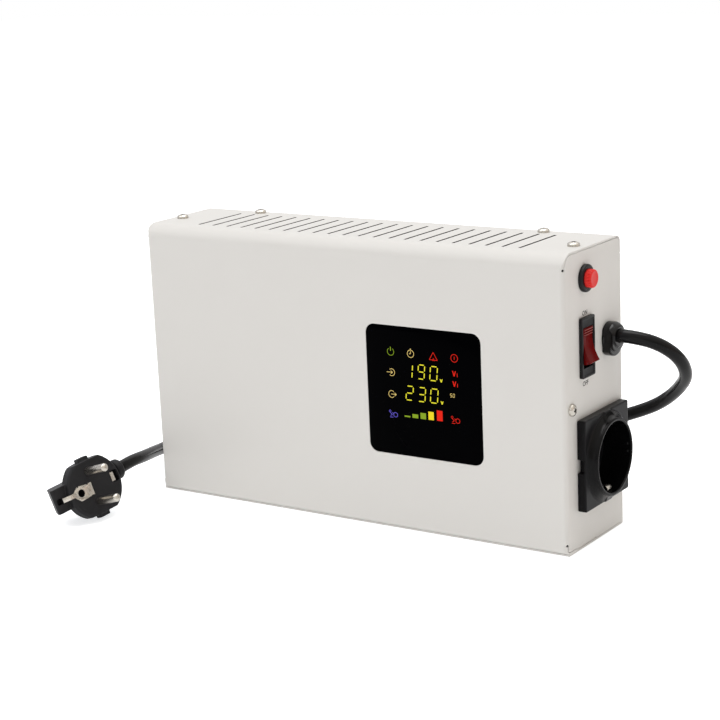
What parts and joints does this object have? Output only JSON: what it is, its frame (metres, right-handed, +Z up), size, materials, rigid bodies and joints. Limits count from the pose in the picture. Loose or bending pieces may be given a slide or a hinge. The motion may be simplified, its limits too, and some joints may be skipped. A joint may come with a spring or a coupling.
{
  "type": "voltage_stabilizer",
  "caption": "Slim relay voltage stabilizer: folded steel case, display window, outlet, rocker switch, resettable breaker and a coiled cord with an earthed plug",
  "frame": {"origin": "centre of the underside of the floor plate, where the case stands", "axes": "X along the case's width towards the wall with the outlet, Y from the front to the back, Z up"},
  "size_m": [0.3509, 0.2695, 0.1678],
  "materials": {
    "powder_coat": "fine textured powder coat, light warm grey",
    "window_glass": "clear window printed black behind",
    "black_plastic": "moulded black plastic",
    "outlet_black": "moulded satin black",
    "gland_black": "moulded nylon, half gloss",
    "plug_black": "soft moulded cord plug",
    "cord_rubber": "soft cord sheath, half gloss",
    "red_plastic": "moulded bright red",
    "rocker_red": "dark red see-through",
    "nickel_steel": "nickel plated",
    "zinc_steel": "zinc plated sheet",
    "lamination_steel": "varnished laminations",
    "bobbin_nylon": "plain nylon",
    "copper_wire": "enamelled copper wire",
    "circuit_board": "solder mask",
    "relay_blue": "moulded blue",
    "tape_yellow": "yellow tape",
    "brass_plain": "plain brass"
  },
  "bodies": {
    "case": {"housing_cover": "powder_coat", "chassis": "powder_coat", "display_window": "window_glass", "display_module": "black_plastic", "display_board": "circuit_board", "display_spacers": "brass_plain", "display_screws": "nickel_steel", "display_nuts": "nickel_steel", "display_carrier": "zinc_steel", "transformer_core": "lamination_steel", "transformer_bobbin": "bobbin_nylon", "transformer_winding": "copper_wire", "transformer_clamps": "zinc_steel", "clamp_bolts": "nickel_steel", "clamp_nuts": "nickel_steel", "transformer_screws": "nickel_steel", "control_board": "circuit_board", "relays": "relay_blue", "terminal_block": "black_plastic", "capacitors": "black_plastic", "sense_transformer": "tape_yellow", "controller_chip": "black_plastic", "board_standoffs": "brass_plain", "board_screws": "nickel_steel", "outlet_frame": "outlet_black", "outlet_insert": "outlet_black", "outlet_contacts": "brass_plain", "outlet_earth_clips": "nickel_steel", "outlet_cap": "black_plastic", "breaker_body": "black_plastic", "breaker_nut": "black_plastic", "breaker_terminals": "nickel_steel", "switch_body": "black_plastic", "switch_terminals": "nickel_steel", "cord_gland": "gland_black", "cord_tail": "cord_rubber", "earth_stud": "brass_plain", "earth_nut": "brass_plain", "top_screws": "nickel_steel", "side_screws": "nickel_steel", "floor_screws": "nickel_steel", "cord_from_gland": "cord_rubber", "cord_coil": "cord_rubber", "cord_to_plug": "cord_rubber", "plug_body": "plug_black", "plug_pins": "nickel_steel", "plug_earth_contacts": "nickel_steel"},
    "rocker": {"power_rocker": "rocker_red"},
    "reset": {"reset_button": "red_plastic"}
  },
  "joints": [
    {"name": "rocker_hinge", "type": "hinge", "parent": "case", "child": "rocker", "pos_m": [0.137, -0.0094, 0.1115], "axis": [0, 1, 0], "range_deg": [0, 24]},
    {"name": "reset_slide", "type": "slide", "parent": "case", "child": "reset", "axis": [1, 0, 0], "range_m": [0, 0.0035]}
  ]
}
